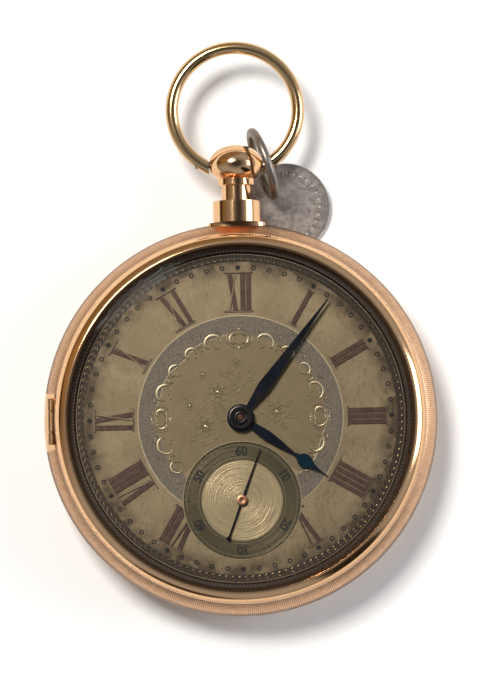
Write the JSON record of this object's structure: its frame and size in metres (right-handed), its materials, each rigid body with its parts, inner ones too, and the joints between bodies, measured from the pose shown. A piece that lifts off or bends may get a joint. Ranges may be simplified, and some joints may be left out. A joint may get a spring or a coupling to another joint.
{
  "type": "open face pocket watch",
  "caption": "Key-wound open face pocket watch: hinged bezel, back and inner lid, pendant with swinging bow, link and tag, lever movement and hands.",
  "frame": {"origin": "centre of the case back on the plane it rests on", "axes": "+Z out through the dial, +Y to twelve o'clock and the pendant, +X to three o'clock"},
  "size_m": [0.046, 0.0674, 0.0114],
  "materials": {
    "case_gold": "polished gold with a finely milled band",
    "dial_gold": "aged matt gold, engraved and stippled",
    "numeral_gold": "hatched rose gold",
    "blued_steel": "blued and polished",
    "dark_steel": "darkened steel wire",
    "worn_silver": "worn grey silver, scratched",
    "glass": "clear domed glass",
    "gilt": "frosted gilt brass",
    "steel": "polished steel",
    "spring_steel": "tempered blue spring steel",
    "ruby": "polished ruby"
  },
  "bodies": {
    "case": {"case_middle": "case_gold", "bezel_hinge_pin": "steel", "back_hinge_pin": "steel", "inner_lid_hinge_pin": "steel", "bow_pins": "dark_steel", "main_plate": "gilt", "centre_bridge": "gilt", "third_bridge": "gilt", "fourth_bridge": "gilt", "escape_bridge": "gilt", "barrel_bridge": "gilt", "balance_cock": "gilt", "pallet_bridge": "gilt", "bridge_screws": "blued_steel", "case_screws": "blued_steel", "jewels": "ruby", "cap_jewel": "ruby", "click_screw": "steel", "click_spring": "spring_steel", "dial": "dial_gold", "hour_numerals": "numeral_gold", "hairspring": "spring_steel"},
    "bezel_lid": {"bezel": "case_gold", "crystal": "glass"},
    "back_lid": {"back_cover": "case_gold"},
    "inner_lid_body": {"inner_lid": "case_gold"},
    "bow_body": {"bow": "case_gold"},
    "link_body": {"link": "dark_steel"},
    "tag_body": {"tag": "worn_silver"},
    "centre": {"centre_wheel": "gilt", "setting_arbor": "steel", "cannon_pinion": "steel", "minute_hand": "blued_steel"},
    "going_barrel": {"barrel": "gilt", "barrel_cover": "gilt", "mainspring": "spring_steel"},
    "third": {"third_wheel": "gilt"},
    "fourth": {"fourth_wheel": "gilt", "seconds_hand": "blued_steel"},
    "escape": {"escape_wheel": "steel"},
    "motion_minute": {"minute_wheel": "gilt"},
    "hour": {"hour_wheel": "gilt", "hour_hand": "blued_steel"},
    "pallet_lever": {"lever": "steel", "pallet_stones": "ruby"},
    "balance": {"balance_wheel": "gilt", "balance_staff": "steel", "roller": "steel"},
    "winding": {"winding_arbor": "steel", "ratchet_wheel": "steel"},
    "click_body": {"click": "steel"},
    "regulator_body": {"regulator": "steel"}
  },
  "joints": [
    {"name": "bezel_hinge", "type": "hinge", "parent": "case", "child": "bezel_lid", "pos_m": [-0.02205, 0, 0.00785], "axis": [0, -1, 0], "range_deg": [0, 100]},
    {"name": "back_hinge", "type": "hinge", "parent": "case", "child": "back_lid", "pos_m": [-0.0225, 0, 0.0033], "axis": [0, 1, 0], "range_deg": [0, 100]},
    {"name": "inner_lid_hinge", "type": "hinge", "parent": "case", "child": "inner_lid_body", "pos_m": [-0.01945, 0, 0.0014], "axis": [0, 1, 0], "range_deg": [0, 80]},
    {"name": "bow_swing", "type": "hinge", "parent": "case", "child": "bow_body", "pos_m": [0, 0.0299, 0.00566], "axis": [1, 0, 0], "range_deg": [0, 80]},
    {"name": "link_swing", "type": "hinge", "parent": "bow_body", "child": "link_body", "pos_m": [0.00315, 0.03, 0.005], "axis": [0.9461, 0.3239, 0], "range_deg": [0, 12]},
    {"name": "tag_swing", "type": "hinge", "parent": "link_body", "child": "tag_body", "pos_m": [0.0036, 0.02796, 0.00186], "axis": [0.9461, 0.3239, 0], "range_deg": [0, 6]},
    {"name": "centre_arbor", "type": "hinge", "parent": "case", "child": "centre", "pos_m": [0, 0, 0.005], "axis": [0, 0, 1], "continuous": true},
    {"name": "barrel_turn", "type": "hinge", "parent": "case", "child": "going_barrel", "pos_m": [0.00308, 0.00846, 0.004], "axis": [0, 0, 1], "continuous": true},
    {"name": "third_arbor", "type": "hinge", "parent": "case", "child": "third", "pos_m": [0.00396, -0.00574, 0.004], "axis": [0, 0, 1], "continuous": true},
    {"name": "fourth_arbor", "type": "hinge", "parent": "case", "child": "fourth", "pos_m": [0, -0.0096, 0.004], "axis": [0, 0, 1], "continuous": true},
    {"name": "escape_arbor", "type": "hinge", "parent": "case", "child": "escape", "pos_m": [-0.00455, -0.01126, 0.004], "axis": [0, 0, 1], "continuous": true},
    {"name": "minute_wheel_turn", "type": "hinge", "parent": "case", "child": "motion_minute", "pos_m": [-0.00338, -0.00123, 0.007], "axis": [0, 0, 1], "continuous": true},
    {"name": "hour_turn", "type": "hinge", "parent": "case", "child": "hour", "pos_m": [0, 0, 0.007], "axis": [0, 0, 1], "continuous": true},
    {"name": "lever_swing", "type": "hinge", "parent": "case", "child": "pallet_lever", "pos_m": [-0.00651, -0.00812, 0.0045], "axis": [0, 0, 1], "range_deg": [-5, 5]},
    {"name": "balance_swing", "type": "hinge", "parent": "case", "child": "balance", "pos_m": [-0.00836, -0.00515, 0.004], "axis": [0, 0, 1], "range_deg": [-220, 220], "stiffness_Nm_per_rad": 0.0000013},
    {"name": "winding_turn", "type": "hinge", "parent": "case", "child": "winding", "pos_m": [0.00308, 0.00846, 0.002], "axis": [0, 0, -1], "continuous": true},
    {"name": "click_lift", "type": "hinge", "parent": "case", "child": "click_body", "pos_m": [0.00715, 0.00708, 0.0018], "axis": [0, 0, -1], "range_deg": [0, 8]},
    {"name": "regulator_move", "type": "hinge", "parent": "case", "child": "regulator_body", "pos_m": [-0.00836, -0.00515, 0.0016], "axis": [0, 0, 1], "range_deg": [-18, 18]}
  ],
  "couplings": [
    {"joint": "barrel_turn", "follows": "centre_arbor", "ratio": -0.125},
    {"joint": "third_arbor", "follows": "centre_arbor", "ratio": -8},
    {"joint": "fourth_arbor", "follows": "centre_arbor", "ratio": 60},
    {"joint": "escape_arbor", "follows": "centre_arbor", "ratio": -600},
    {"joint": "minute_wheel_turn", "follows": "centre_arbor", "ratio": -0.33333},
    {"joint": "hour_turn", "follows": "centre_arbor", "ratio": 0.083333},
    {"joint": "inner_lid_hinge", "follows": "back_hinge", "ratio": 0.8}
  ]
}
